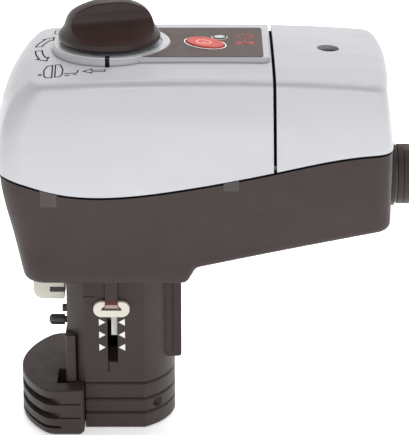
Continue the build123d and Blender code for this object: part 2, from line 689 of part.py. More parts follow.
with BuildPart() as indicator_carrier:
    add(tube(AXIS_X, 51, 60.6, 9.0, 7.0))
    add(block(SLOT_LEFT + SLIDE_GAP, SLOT_RIGHT - SLIDE_GAP, -22.4, -8.0, 54.0, 60.6))
    add(rod(AXIS_X, 0, 50, 62, 7.0), mode=Mode.SUBTRACT)
    # flared stem that carries the clip
    with BuildSketch(Plane.XZ.offset(22.4)):
        with BuildLine():
            Polyline(*flared_outline(0, NOTCH_Z, NOTCH_Z + 18.5))
        make_face()
    extrude(amount=1.4)
save(indicator_carrier, "indicator_carrier")

with BuildPart() as position_bar:
    add(block(AXIS_X - 0.4, AXIS_X + 2.1, -18.6, -17.4, 42.4, 54.0))
save(position_bar, "position_bar")

with BuildPart() as indicator_clip:
    with BuildSketch(Plane.XZ.offset(22.4)) as clip:
        with Locations((AXIS_X - 4.2, CLIP_Z), (AXIS_X + 4.2, CLIP_Z)):
            Circle(3.45)
        with Locations((AXIS_X, CLIP_Z)):
            Rectangle(8.4, 6.9)
        with BuildLine():
            Polyline(*flared_outline(0.2, NOTCH_Z - 0.2, NOTCH_Z + 8))
        make_face(mode=Mode.SUBTRACT)
    extrude(amount=2.0)
save(indicator_clip, "indicator_clip")

with BuildPart() as guide_bush:
    add(tube(AXIS_X, FLOOR_Z - 3, FLOOR_Z + 4.5, 6.95, SPINDLE_R + RUN))
save(guide_bush, "guide_bush")


# ---------------------------------------------------------------- gears
def gear(x, y, low, high, teeth, phase):
    """A spur gear with straight-flanked teeth; phase turns it, in degrees."""
    pitch_r = teeth * MODULE / 2
    root_r, tip_r = pitch_r - 1.2 * MODULE, pitch_r + 0.9 * MODULE
    half_pitch = math.pi * MODULE / 4 - BACKLASH / 2  # half a tooth's width at the pitch circle
    with BuildPart() as made:
        with BuildSketch(Plane.XY.offset(low)):
            with Locations((x, y)):
                Circle(root_r)
            for i in range(teeth):
                turn = math.radians(phase + 360 * i / teeth)
                corners = []
                flank = (
                    (root_r - 0.3, half_pitch + 0.42),
                    (pitch_r, half_pitch),
                    (tip_r, half_pitch - 0.42),
                )
                for hand, order in ((1, flank), (-1, flank[::-1])):
                    for radius, half in order:
                        across_x, along = half * hand, math.sqrt(radius**2 - half**2)
                        corners.append((
                            x + along * math.cos(turn) - across_x * math.sin(turn),
                            y + along * math.sin(turn) + across_x * math.cos(turn),
                        ))
                with BuildLine():
                    Polyline(*corners, corners[0])
                make_face()
        extrude(amount=high - low)
    return made.part


IDLER_ANGLE = -20.0
IDLER_DISTANCE = (OUTPUT_TEETH + PINION_TEETH) * MODULE / 2
IDLER_AT = (
    AXIS_X + IDLER_DISTANCE * math.cos(math.radians(IDLER_ANGLE)),
    IDLER_DISTANCE * math.sin(math.radians(IDLER_ANGLE)),
)
MOTOR_ANGLE = 35.0
MOTOR_DISTANCE = (IDLER_TEETH + PINION_TEETH) * MODULE / 2
MOTOR_AT = (
    IDLER_AT[0] + MOTOR_DISTANCE * math.cos(math.radians(MOTOR_ANGLE)),
    IDLER_AT[1] + MOTOR_DISTANCE * math.sin(math.radians(MOTOR_ANGLE)),
)

with BuildPart() as output_gear:
    add(gear(AXIS_X, 0, 101, 107, OUTPUT_TEETH, IDLER_ANGLE))
    add(rod(AXIS_X, 0, LOWER_PLATE_Z, 117, 8.95))
    add(rod(AXIS_X, 0, 80, 120, 7.0), mode=Mode.SUBTRACT)
save(output_gear, "output_gear")

with BuildPart() as drive_nut:
    add(tube(AXIS_X, LOWER_PLATE_Z, 117, 7.0, SPINDLE_R + RUN))
save(drive_nut, "drive_nut")

with BuildPart() as knob_shaft:
    add(tube(AXIS_X, 117, 174, 6.4, 4.9))
save(knob_shaft, "knob_shaft")

def knob_scoop(hand):
    """What is scooped away from the knob's dome on one side of its grip."""
    with BuildPart() as scoop:
        with BuildSketch(Plane.YZ.offset(-30)):
            with BuildLine():
                Polyline((hand * 30, 169.4), (hand * 30, 190), (hand * 3.5, 190), (hand * 4.1, 181))
                curve = ((4.1, 181), (5.0, 177.0), (8.6, 174.2), (15.0, 172.4), (30, 169.4))
                Spline(*[(hand * y, z) for y, z in curve])
            make_face()
        extrude(amount=60)
    return scoop.part


with BuildPart() as knob:
    with BuildSketch(Plane.XZ):
        with BuildLine():
            rim = (KNOB_R, KNOB_BASE + 1.3)
            foot = ((KNOB_R - 0.4, KNOB_BASE), (KNOB_R, KNOB_BASE + 0.4))
            Polyline((0, KNOB_TOP), (0, KNOB_BASE), *foot, rim)
            Spline(
                rim, (20.4, 172.0), (18.8, 174.6), (17.8, 177.4), (15.2, 181.2), (9.0, 184.1),
                (0, KNOB_TOP), tangents=[(0, 1), (-1, 0)],
            )
        make_face()
    revolve(axis=Axis.Z)
    for hand in (-1, 1):
        add(knob_scoop(hand), mode=Mode.SUBTRACT)
    fillet([e for e in knob.edges() if e.center().Z > 178], 0.8)
    add(rod(0, 0, 160, 174, 6.4), mode=Mode.SUBTRACT)
knob.part = knob.part.rotate(Axis.Z, KNOB_TURN).moved(Location((AXIS_X, 0, 0)))
save(knob, "knob")

with BuildPart() as knob_seal:
    with BuildSketch(Plane.XZ):
        with Locations((7.5, 165.15)):
            Circle(0.75)
    revolve(axis=Axis.Z)
knob_seal.part = knob_seal.part.moved(Location((AXIS_X, 0, 0)))
save(knob_seal, "knob_seal")

with BuildPart() as idler_gear:
    add(gear(*IDLER_AT, 95, 99, IDLER_TEETH, MOTOR_ANGLE))
    add(gear(*IDLER_AT, 99, 108.5, PINION_TEETH, IDLER_ANGLE + 180 + 180 / PINION_TEETH))
    add(rod(*IDLER_AT, 90, 112, 2.05), mode=Mode.SUBTRACT)
save(idler_gear, "idler_gear")

with BuildPart() as idler_pin:
    add(rod(*IDLER_AT, LOWER_PLATE_Z, UPPER_PLATE_Z + PLATE_T, 2.0))
save(idler_pin, "idler_pin")

with BuildPart() as motor_pinion:
    add(gear(*MOTOR_AT, 94.8, 99.2, PINION_TEETH, MOTOR_ANGLE + 180 + 180 / PINION_TEETH))
    add(rod(*MOTOR_AT, 94.8, 112, 1.95))
save(motor_pinion, "motor_pinion")

with BuildPart() as gear_motor:
    add(rod(*MOTOR_AT, 99.8, UPPER_PLATE_Z, 15.5))
    fillet(gear_motor.edges().group_by(Axis.Z)[0], 1.5)
    add(rod(*MOTOR_AT, 90, 112.2, 2.0), mode=Mode.SUBTRACT)
save(gear_motor, "gear_motor")

for label, low in (("lower_bearing", LOWER_PLATE_Z), ("upper_bearing", UPPER_PLATE_Z - 1.5)):
    with BuildPart() as bearing:
        add(tube(AXIS_X, low, low + 5.0, 12.0, 8.95 + RUN))
    save(bearing, label)


def gear_plate(low, post_hole):
    """A sheet steel plate with holes for a bearing, the idler's pin and the frame screws."""
    with BuildPart() as plate:
        with BuildSketch(Plane.XY.offset(low)):
            with Locations((15.0, 0)):
                RectangleRounded(88.0, 60.0, 4.0)
            with Locations((AXIS_X, 0)):
                Circle(12.0, mode=Mode.SUBTRACT)
            with Locations(IDLER_AT):
                Circle(2.0, mode=Mode.SUBTRACT)
            with Locations(PILLARS):
                Circle(1.6, mode=Mode.SUBTRACT)
            if post_hole:
                with Locations((44.0, 20.0), (44.0, -24.0)):
                    Circle(3.0, mode=Mode.SUBTRACT)
        extrude(amount=PLATE_T)
    return plate


save(gear_plate(LOWER_PLATE_Z, False), "lower_gear_plate")
save(gear_plate(UPPER_PLATE_Z, True), "upper_gear_plate")

with BuildPart() as pillars:
    for x, y in PILLARS:
        add(rod(x, y, LOWER_PLATE_Z + PLATE_T, UPPER_PLATE_Z, 3.0) - rod(x, y, 80, 120, 1.6))
save(pillars, "pillars")

with BuildPart() as frame_screws:
    for x, y in PILLARS:
        add(rod(x, y, LOWER_PLATE_Z - 3, 117.4, 1.5))
        add(rod(x, y, UPPER_PLATE_Z + PLATE_T, 117.4, 2.8))
save(frame_screws, "frame_screws")

with BuildPart() as limit_switches:
    for y0, y1 in ((-24.0, -18.0), (18.0, 24.0)):
        add(block(-16, 4, y0, y1, UPPER_PLATE_Z + PLATE_T, 125))
        add(block(-10, -7, (y0 + y1) / 2 - 1, (y0 + y1) / 2 + 1, 125, 126))
save(limit_switches, "limit_switches")
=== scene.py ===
import json
import math
import bpy
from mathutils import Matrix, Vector
from mathutils.bvhtree import BVHTree


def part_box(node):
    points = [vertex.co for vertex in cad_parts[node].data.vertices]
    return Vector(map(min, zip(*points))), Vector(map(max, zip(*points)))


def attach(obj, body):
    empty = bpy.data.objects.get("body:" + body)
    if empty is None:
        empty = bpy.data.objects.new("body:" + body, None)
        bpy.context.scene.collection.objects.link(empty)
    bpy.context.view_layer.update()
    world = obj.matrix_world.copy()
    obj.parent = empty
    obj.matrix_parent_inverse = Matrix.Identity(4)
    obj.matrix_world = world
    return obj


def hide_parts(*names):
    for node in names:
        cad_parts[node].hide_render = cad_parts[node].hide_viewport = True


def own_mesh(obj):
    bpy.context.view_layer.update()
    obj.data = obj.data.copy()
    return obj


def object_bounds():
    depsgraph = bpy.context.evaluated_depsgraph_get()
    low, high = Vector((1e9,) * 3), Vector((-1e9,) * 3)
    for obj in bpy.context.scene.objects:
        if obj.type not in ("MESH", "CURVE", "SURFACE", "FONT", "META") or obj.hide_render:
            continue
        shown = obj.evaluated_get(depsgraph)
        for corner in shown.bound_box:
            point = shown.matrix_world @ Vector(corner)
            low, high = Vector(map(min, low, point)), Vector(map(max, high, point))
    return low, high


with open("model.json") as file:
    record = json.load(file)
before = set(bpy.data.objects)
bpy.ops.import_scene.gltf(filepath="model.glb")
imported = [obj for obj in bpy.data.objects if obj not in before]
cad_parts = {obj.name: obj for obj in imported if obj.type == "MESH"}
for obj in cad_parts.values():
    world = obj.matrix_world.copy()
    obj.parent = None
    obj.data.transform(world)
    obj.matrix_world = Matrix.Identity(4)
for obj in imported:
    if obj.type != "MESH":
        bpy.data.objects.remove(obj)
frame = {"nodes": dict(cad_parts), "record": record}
CAD_BOX = [list(corner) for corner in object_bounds()]
NODES = frame["nodes"]
MM = 0.001
scene = bpy.context.scene

# The camera: its lens in millimetres, its place in metres, and how many degrees it looks down.
LENS = 182.07
CAMERA_PLACE = (0.03933, -0.87475, 0.43354)
LOOKS_DOWN = 21.5

# The room: how bright it is low down and overhead, and where it fades between the two.
HORIZON = 0.95
ZENITH = 0.12
FADE = (0.25, 0.95)  # the height of a direction, from 0 for level to 1 for straight up
PAPER_GLOW = 0.4
FLOOR_REACH = 6.0  # half of the floor's width, in metres
FLOOR_GAP = 0.0005  # how far it lies below the part

# Each lamp's name, place, two sides, power, and whether it glints on the part.
LAMPS_AIM = (0.035, 0.0, 0.1)
LAMPS = (
    ("key", (0.5, -1.2, 0.9), (1.2, 0.9), 6.5, False),
    ("above", (0.2, 0.6, 1.2), (1.2, 1.2), 25.0, False),
    ("edge", (0.2, -1.1, 0.75), (1.4, 0.25), 1.6, True),
)

# Places on the control panel, in millimetres.
RING_X = 1.0  # middle of the ring round the knob
BUTTON = (39.6, -2.0)
BUTTON_AXES = (9.2, 5.8)  # half of its length and of its width
BUTTON_SKEW = math.radians(-42.0)
LAMP = (45.6, 6.6)
SKIN = 0.06  # how far a print stands above its ground

# The black strip between covers and housing, which paints the shade of the parting gap, in millimetres:
# its top and foot are below the covers' edge, its back and face are out from the housing's wall.
SHADE_STRIP_TOP, SHADE_STRIP_FOOT = 0.03, 1.1
SHADE_STRIP_BACK, SHADE_STRIP_FACE = 0.03, 0.18

# The seam between the two covers, in metres: its place at the height of its foot, how far
# it leans per metre of height, and the height of the point that its strip is drawn round.
SEAM_X = 0.0679
SEAM_FOOT = 0.126
SEAM_LEAN = math.tan(math.radians(1.0))
SEAM_HUB = 0.1265

RELEASE_PIN = (0.05745, 0.05975)  # the pin's underside and top, in metres
FLAG_FACE = -23.8  # front of the carrier's stem, which the flag lies on, in millimetres

# The faces of a block whose eight corners go round one end and then round the other.
BLOCK_FACES = ((0, 3, 2, 1), (4, 5, 6, 7), (0, 1, 5, 4), (1, 2, 6, 5), (2, 3, 7, 6), (3, 0, 4, 7))


# ------------------------------------------------------------------ camera, light and floor
def make_camera():
    """Looks down a little on the casing's front side, from far off."""
    data = bpy.data.cameras.new("camera")
    data.sensor_width = 36.0
    data.lens = LENS
    data.clip_end = 20.0
    camera = bpy.data.objects.new("camera", data)
    camera.location = CAMERA_PLACE
    camera.rotation_euler = (math.radians(90.0 - LOOKS_DOWN), 0.0, 0.0)
    scene.collection.objects.link(camera)
    scene.camera = camera


def area_light(name, place, size, power, glints):
    """A soft lamp that points at the middle of the part."""
    data = bpy.data.lights.new(name, "AREA")
    data.shape = "RECTANGLE"
    data.size, data.size_y = size
    data.energy = power
    lamp = bpy.data.objects.new(name, data)
    lamp.location = place
    lamp.visible_glossy = glints
    lamp.rotation_euler = (Vector(LAMPS_AIM) - Vector(place)).to_track_quat("-Z", "Y").to_euler()
    scene.collection.objects.link(lamp)


def make_studio():
    """A pale room, bright near the horizon and darker overhead, with soft lamps."""
    world = bpy.data.worlds.new("studio")
    world.use_nodes = True
    nodes, links = world.node_tree.nodes, world.node_tree.links
    place = nodes.new("ShaderNodeTexCoord")
    split = nodes.new("ShaderNodeSeparateXYZ")
    rise = nodes.new("ShaderNodeMapRange")
    set_range(rise, FADE, (HORIZON, ZENITH))
    links.new(place.outputs["Generated"], split.inputs["Vector"])
    links.new(split.outputs["Z"], rise.inputs["Value"])
    links.new(rise.outputs["Result"], nodes["Background"].inputs["Strength"])
    nodes["Background"].inputs["Color"].default_value = (1.0, 1.0, 1.0, 1.0)
    scene.world = world
    for lamp in LAMPS:
        area_light(*lamp)
    scene.view_settings.view_transform = "Standard"


def make_floor():
    """White paper under the part, which glows a little so that it stays white."""
    mesh = bpy.data.meshes.new("floor")
    signs = ((-1, -1), (1, -1), (1, 1), (-1, 1))
    corners = [(FLOOR_REACH * x, FLOOR_REACH * y, 0) for x, y in signs]
    mesh.from_pydata(corners, [], [(0, 1, 2, 3)])
    floor = bpy.data.objects.new("floor", mesh)
    floor.location.z = CAD_BOX[0][2] - FLOOR_GAP
    scene.collection.objects.link(floor)
    paper = material("floor_paper", (0.95, 0.95, 0.95), rough=0.9, grain=1.5, bump=0.02)
    shader = paper.node_tree.nodes["Principled BSDF"]
    shader.inputs["Emission Color"].default_value = (1.0, 1.0, 1.0, 1.0)
    shader.inputs["Emission Strength"].default_value = PAPER_GLOW
    mesh.materials.append(paper)


# ------------------------------------------------------------------ materials
TONE_SIZE = 14.0  # size of the slow changes of tone, in millimetres
ROUGH_SIZE = 5.0  # the same for roughness
NOISE_SPAN = (0.3, 0.7)  # between these values lies nearly all of a noise
CREVICE_REACH = 1.5  # painted shade: a gap narrower than this darkens, in millimetres
CREVICE_SPAN = (0.35, 0.7)  # the painted shade goes from fully dark to not at all, as a share of open sky


def set_range(node, source, target):
    """Sets a map range node: from the first pair of values to the second."""
    for socket, value in zip(("From Min", "From Max", "To Min", "To Max"), (*source, *target)):
        node.inputs[socket].default_value = value


def material(
    name, color, metallic=0.0, rough=0.5, spread=0.08, shade=0.05,
    grain=0.4, bump=0.1, level=0.5, crevice=None, brush=1.0,
):
    """A procedural finish: fine grain as bump, slow changes of roughness and tone, and painted shade in
    narrow gaps.

    spread and shade are how far roughness and tone vary, grain is the grain's size in
    millimetres, level is the strength of the plain shine, crevice is what is left of
    the color in a narrow gap, where shade is painted in, and brush draws all the patterns out along X.
    """
    made = bpy.data.materials.new(name)
    made.use_nodes = True
    nodes, links = made.node_tree.nodes, made.node_tree.links
    shader = nodes["Principled BSDF"]
    shader.inputs["Metallic"].default_value = metallic
    shader.inputs["Specular IOR Level"].default_value = level
    place = nodes.new("ShaderNodeTexCoord")
    draw = nodes.new("ShaderNodeMapping")
    draw.inputs["Scale"].default_value = (1.0 / brush, 1.0, 1.0)
    links.new(place.outputs["Object"], draw.inputs["Vector"])

    def noise(size_mm, detail):
        made_noise = nodes.new("ShaderNodeTexNoise")
        made_noise.inputs["Scale"].default_value = 1.0 / (size_mm * MM)
        made_noise.inputs["Detail"].default_value = detail
        links.new(draw.outputs["Vector"], made_noise.inputs["Vector"])
        return made_noise.outputs["Fac"]

    def spread_of(source, low, high):
        ramp = nodes.new("ShaderNodeMapRange")
        set_range(ramp, NOISE_SPAN, (low, high))
        links.new(source, ramp.inputs["Value"])
        return ramp.outputs["Result"]

    tone = nodes.new("ShaderNodeMix")
    tone.data_type = "RGBA"
    tone.inputs["A"].default_value = (*[c * (1.0 - shade) for c in color], 1.0)
    tone.inputs["B"].default_value = (*[min(1.0, c * (1.0 + shade)) for c in color], 1.0)
    links.new(spread_of(noise(TONE_SIZE, 4.0), 0.0, 1.0), tone.inputs["Factor"])
    # painted shade: where crevice is given, the color darkens towards black in narrow gaps and grooves
    if crevice is None:
        links.new(tone.outputs["Result"], shader.inputs["Base Color"])
    else:
        near = nodes.new("ShaderNodeAmbientOcclusion")
        near.inputs["Distance"].default_value = CREVICE_REACH * MM
        near.samples = 8
        fade = nodes.new("ShaderNodeMapRange")
        set_range(fade, CREVICE_SPAN, (crevice, 1.0))
        links.new(near.outputs["AO"], fade.inputs["Value"])
        painted_shade = nodes.new("ShaderNodeMix")
        painted_shade.data_type = "RGBA"
        painted_shade.inputs["A"].default_value = (0.0, 0.0, 0.0, 1.0)
        links.new(fade.outputs["Result"], painted_shade.inputs["Factor"])
        links.new(tone.outputs["Result"], painted_shade.inputs["B"])
        links.new(painted_shade.outputs["Result"], shader.inputs["Base Color"])
    gloss = spread_of(noise(ROUGH_SIZE, 5.0), rough - spread, rough + spread)
    links.new(gloss, shader.inputs["Roughness"])
    relief = nodes.new("ShaderNodeBump")
    relief.inputs["Strength"].default_value = bump
    relief.inputs["Distance"].default_value = 0.1 * MM
    links.new(noise(grain, 3.0), relief.inputs["Height"])
    links.new(relief.outputs["Normal"], shader.inputs["Normal"])
    return made


# crevice paints shade into the narrow gaps of the silver paint and the dark plastic
FINISHES = {
    "silver_paint": dict(
        color=(0.475, 0.478, 0.498), metallic=0.4, rough=0.4, spread=0.06, shade=0.025,
        grain=0.25, bump=0.16, crevice=0.0, brush=5.0,
    ),
    "dark_plastic": dict(
        color=(0.038, 0.0265, 0.024), rough=0.5, spread=0.06, shade=0.08,
        grain=0.35, bump=0.35, level=0.3, crevice=0.1,
    ),
    "catch_plastic": dict(color=(0.046, 0.038, 0.035), rough=0.5, grain=0.35, bump=0.3),
    "knob_plastic": dict(
        color=(0.024, 0.012, 0.010), rough=0.38, spread=0.05, grain=0.35, bump=0.2, level=0.4,
    ),
    "label_film": dict(color=(0.066, 0.048, 0.044), rough=0.5, spread=0.05, grain=0.3, bump=0.15),
    "ring_aluminium": dict(color=(0.62, 0.62, 0.63), metallic=0.6, rough=0.35, grain=0.2, bump=0.1),
    "button_red": dict(color=(0.42, 0.06, 0.05), rough=0.42, grain=0.4, bump=0.08),
    "white_plastic": dict(color=(0.74, 0.74, 0.73), rough=0.4, shade=0.02, grain=0.3, bump=0.05),
    "ivory_plastic": dict(color=(0.62, 0.605, 0.52), rough=0.34, shade=0.03, grain=0.3, bump=0.08),
    "black_plastic": dict(color=(0.03, 0.03, 0.03), rough=0.45, grain=0.3, bump=0.2),
    "black_rubber": dict(color=(0.02, 0.02, 0.02), rough=0.75, grain=0.2, bump=0.25),
    # near black with almost no shine: painted shade for the strips in the parting gap and the seam
    "gap_shade_black": dict(color=(0.004, 0.004, 0.005), rough=0.9, grain=0.3, bump=0.1, level=0.05),
    "clear_lens": dict(color=(0.38, 0.41, 0.37), rough=0.25, grain=0.3, bump=0.05),
    "lamp_red": dict(color=(0.5, 0.05, 0.03), rough=0.3, grain=0.3, bump=0.05),
    "board_green": dict(color=(0.02, 0.16, 0.07), rough=0.35, shade=0.2, grain=0.5, bump=0.1),
    "capacitor_sleeve": dict(color=(0.03, 0.05, 0.16), rough=0.3, grain=0.3, bump=0.05),
    "terminal_green": dict(color=(0.1, 0.35, 0.2), rough=0.45, grain=0.3, bump=0.15),
    "gear_plastic": dict(color=(0.75, 0.73, 0.66), rough=0.45, grain=0.25, bump=0.1),
    "screw_steel": dict(color=(0.55, 0.55, 0.56), metallic=1.0, rough=0.35, grain=0.15, bump=0.1),
    "dark_steel": dict(color=(0.055, 0.055, 0.06), metallic=0.6, rough=0.42, grain=0.15, bump=0.12),
    "spindle_steel": dict(color=(0.6, 0.6, 0.62), metallic=1.0, rough=0.25, grain=0.15, bump=0.08),
    "zinc_plate": dict(color=(0.6, 0.61, 0.63), metallic=1.0, rough=0.38, shade=0.1, grain=0.6, bump=0.06),
    "motor_can": dict(color=(0.5, 0.5, 0.52), metallic=1.0, rough=0.3, grain=0.2, bump=0.05),
    "brass": dict(color=(0.7, 0.5, 0.2), metallic=1.0, rough=0.3, grain=0.15, bump=0.08),
    "ink_black": dict(color=(0.006, 0.006, 0.007), rough=0.7, grain=0.3, bump=0.05, level=0.1),
    "ink_white": dict(color=(0.80, 0.79, 0.75), rough=0.5, grain=0.3, bump=0.05),
    "ink_pink": dict(color=(0.70, 0.30, 0.27), rough=0.45, grain=0.3, bump=0.05),
    "flag_red": dict(color=(0.085, 0.018, 0.016), rough=0.5, grain=0.3, bump=0.05, level=0.3),
    "ink_pale": dict(color=(0.36, 0.25, 0.235), rough=0.5, grain=0.3, bump=0.05),
    "ink_red": dict(color=(0.30, 0.045, 0.035), rough=0.5, grain=0.3, bump=0.05),
}
MADE = {}


def finish_of(slot):
    """The material of a slot, made when it's first asked for."""
    if slot not in MADE:
        MADE[slot] = material(slot, **FINISHES[slot])
    return MADE[slot]


def paint_nodes():
    """Every CAD node takes the finish of its slot in the record."""
    for part in frame["record"]["subparts"]:
        node = NODES[part["node"]]
        for holder in node.material_slots:
            holder.material = finish_of(part["material_slot"])


def add_piece(name, verts, faces, finish, body, smooth=False):
    """A new mesh piece that rides on a body; the corners are in metres."""
    mesh = bpy.data.meshes.new(name)
    mesh.from_pydata([tuple(v) for v in verts], [], faces)
    mesh.validate()
    mesh.materials.append(finish_of(finish))
    for face in mesh.polygons:
        face.use_smooth = smooth
    piece = bpy.data.objects.new(name, mesh)
    scene.collection.objects.link(piece)
    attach(piece, body)
    return piece


def add_band(name, rings, finish, closed, body="casing"):
    """A thin band through rings of four corners, which turn right-handed along the band."""
    verts = [corner for ring in rings for corner in ring]
    count = len(rings)
    faces = []
    for i in range(count if closed else count - 1):
        a, b = 4 * i, 4 * ((i + 1) % count)
        for k in range(4):
            n = (k + 1) % 4
            faces.append((a + k, a + n, b + n, b + k))
    if not closed:
        last = 4 * (count - 1)
        faces.extend([(0, 3, 2, 1), (last, last + 1, last + 2, last + 3)])
    add_piece(name, verts, faces, finish, body)


# ------------------------------------------------------------------ surfaces and printed signs
def tree_of(names):
    """A search tree of CAD nodes, to find where their surface lies."""
    verts, faces = [], []
    for name in names:
        mesh = NODES[name].data
        first = len(verts)
        verts.extend(v.co.copy() for v in mesh.vertices)
        faces.extend([first + i for i in face.vertices] for face in mesh.polygons)
    return BVHTree.FromPolygons(verts, faces)


# What the signs are printed on.
GROUND = tree_of(("main_cover", "label_panel", "scale_ring", "function_button"))


def drop(x, y):
    """Height in metres of the ground under a point in millimetres, with edges a little wide."""
    heights = []
    for dx, dy in ((0, 0), (SKIN, 0), (-SKIN, 0), (0, SKIN), (0, -SKIN)):
        start = Vector(((x + dx) * MM, (y + dy) * MM, 0.3))
        heights.append(GROUND.ray_cast(start, Vector((0.0, 0.0, -1.0)))[0].z)
    return max(heights)


def along(points, step, closed):
    """The same line with points no further apart than step."""
    line = [Vector(p) for p in points]
    if closed:
        line.append(line[0])
    made = [line[0]]
    for a, b in zip(line[:-1], line[1:]):
        count = max(1, math.ceil((b - a).length / step))
        made.extend(a.lerp(b, i / count) for i in range(1, count + 1))
    if closed:
        made.pop()
    return made


def printed_line(
    name, points, width, ink="ink_black", closed=False, end_width=None, body="casing", step=0.5,
):
    """A flat printed line that follows the ground; points and widths are in millimetres."""
    line = along(points, step, closed)
    count = len(line)
    rings = []
    for i, point in enumerate(line):
        before = line[i - 1] if closed or i else point
        after = line[(i + 1) % count] if closed or i < count - 1 else point
        one = (point - before).normalized() if point != before else (after - point).normalized()
        two = (after - point).normalized() if after != point else one
        normal = Vector((-(one + two).y, (one + two).x)).normalized()
        share = i / max(1, count - 1)
        wide = width if end_width is None else width + (end_width - width) * share
        # the mitre of a sharp corner is cut short
        reach = wide / 2 / max(0.4, normal.dot(Vector((-two.y, two.x))))
        ring = []
        for side, lift in ((1, SKIN), (-1, SKIN), (-1, -SKIN), (1, -SKIN)):
            spot = point + normal * reach * side
            ring.append((spot.x * MM, spot.y * MM, drop(spot.x, spot.y) + lift * MM))
        rings.append(ring)
    add_band(name, rings, ink, closed, body)


def arc(centre, radius, start, end, count=24, squeeze=1.0, turn=0.0):
    """Points on an arc from start to end, in degrees; squeeze flattens it, turn is in radians."""
    made = []
    for i in range(count + 1):
        angle = math.radians(start + (end - start) * i / max(1, count))
        x, y = radius * math.cos(angle), radius * squeeze * math.sin(angle)
        made.append((
            centre[0] + x * math.cos(turn) - y * math.sin(turn),
            centre[1] + x * math.sin(turn) + y * math.cos(turn),
        ))
    return made


def print_arrows():
    """Two curved arrows, which say that the knob turns both ways, and a straight one."""
    centre = (RING_X, 0.0)
    barb, head = 1.2, 8.0  # the head's overhang in millimetres, its length in degrees
    for name, inner, outer, start, end in (
        ("open", 29.8, 32.5, 171.0, 152.0),
        ("close", 28.9, 31.7, 182.0, 202.0),
    ):
        tip = end + head * (1 if end > start else -1)
        shape = arc(centre, outer, start, end, 12)
        shape += arc(centre, outer + barb, end, end, 0)
        shape += arc(centre, (inner + outer) / 2, tip, tip, 0)
        shape += arc(centre, inner - barb, end, end, 0)
        shape += arc(centre, inner, end, start, 12)
        printed_line(f"sign_turn_{name}", shape, 0.62, closed=True)
    shape = [
        (-9.6, -28.9), (-6.2, -26.8), (-6.2, -28.2), (-0.8, -28.2),
        (-0.8, -29.8), (-6.2, -29.8), (-6.2, -31.2),
    ]
    printed_line("sign_arrow", shape, 0.5, closed=True)


def print_coupling():
    """The sign of a coupling: two halves with a gap between them, and a stem."""
    left = [
        (-22.4, -20.6), (-24.6, -21.6), (-25.6, -26.0),
        (-25.2, -31.5), (-24.4, -33.6), (-21.9, -33.9),
    ]
    right = [
        (-21.2, -20.4), (-19.2, -20.6), (-17.9, -26.0),
        (-18.0, -31.5), (-18.8, -33.4), (-20.7, -33.6),
    ]
    printed_line("sign_coupling_left", left, 0.55, closed=True)
    printed_line("sign_coupling_right", right, 0.55, closed=True)
    for name, shape, width in (
        ("stem", [(-17.4, -30.4), (-12.0, -30.4), (-11.6, -27.2)], 0.5),
        ("foot", [(-16.8, -32.4), (-14.8, -32.4)], 0.8),
        ("end", [(-13.6, -31.8), (-12.0, -31.8)], 0.7),
        ("root", [(-26.0, -31.0), (-27.6, -30.4), (-26.4, -29.2)], 0.5),
    ):
        printed_line(f"sign_coupling_{name}", shape, width)


def print_frame_and_mark():
    """The small frame behind the knob, and the index mark on its ring."""
    shape = [(-24.4, 31.0), (-17.5, 31.0), (-17.5, 25.0), (-24.4, 25.0)]
    printed_line("sign_frame", shape, 0.4, closed=True)
    printed_line("index_mark", [(0.0, -20.4), (0.0, -25.6)], 1.8, step=0.05)


def print_controls():
    """White outlines round the button and the lamp, and the button's sign."""
    margin = 0.7
    length, width = BUTTON_AXES[0] + margin, BUTTON_AXES[1] + margin
    shape = arc(BUTTON, length, 0, 357.5, 143, width / length, BUTTON_SKEW)
    printed_line("button_outline", shape, 0.4, "ink_white", closed=True)
    printed_line("lamp_outline", arc(LAMP, 3.2, 0, 355, 71), 0.25, "ink_white", closed=True)
    ring = arc((39.0, -2.4), 3.3, 0, 350, 35, 0.75, BUTTON_SKEW)
    on_button = dict(ink="ink_pink", body="function_button")
    printed_line("button_sign_ring", ring, 0.7, closed=True, **on_button)
    printed_line("button_sign_point", [(38.2, -2.6), (40.2, -3.0)], 1.1, **on_button)


def print_valve():
    """The sign of a valve with a motor: two triangles, a stem and a ring."""
    x, y = valve = (56.2, -1.6)
    for side, way in (("left", -1), ("right", 1)):
        half = [valve, (x + way * 3.6, y)]
        printed_line(f"valve_sign_{side}", half, 0.3, "ink_red", end_width=4.6)
    printed_line("valve_sign_stem", [valve, (x, 4.6)], 0.5, "ink_red")
    printed_line("valve_sign_motor", arc((x, 7.6), 3.0, 0, 350, 35), 0.6, "ink_red", closed=True)


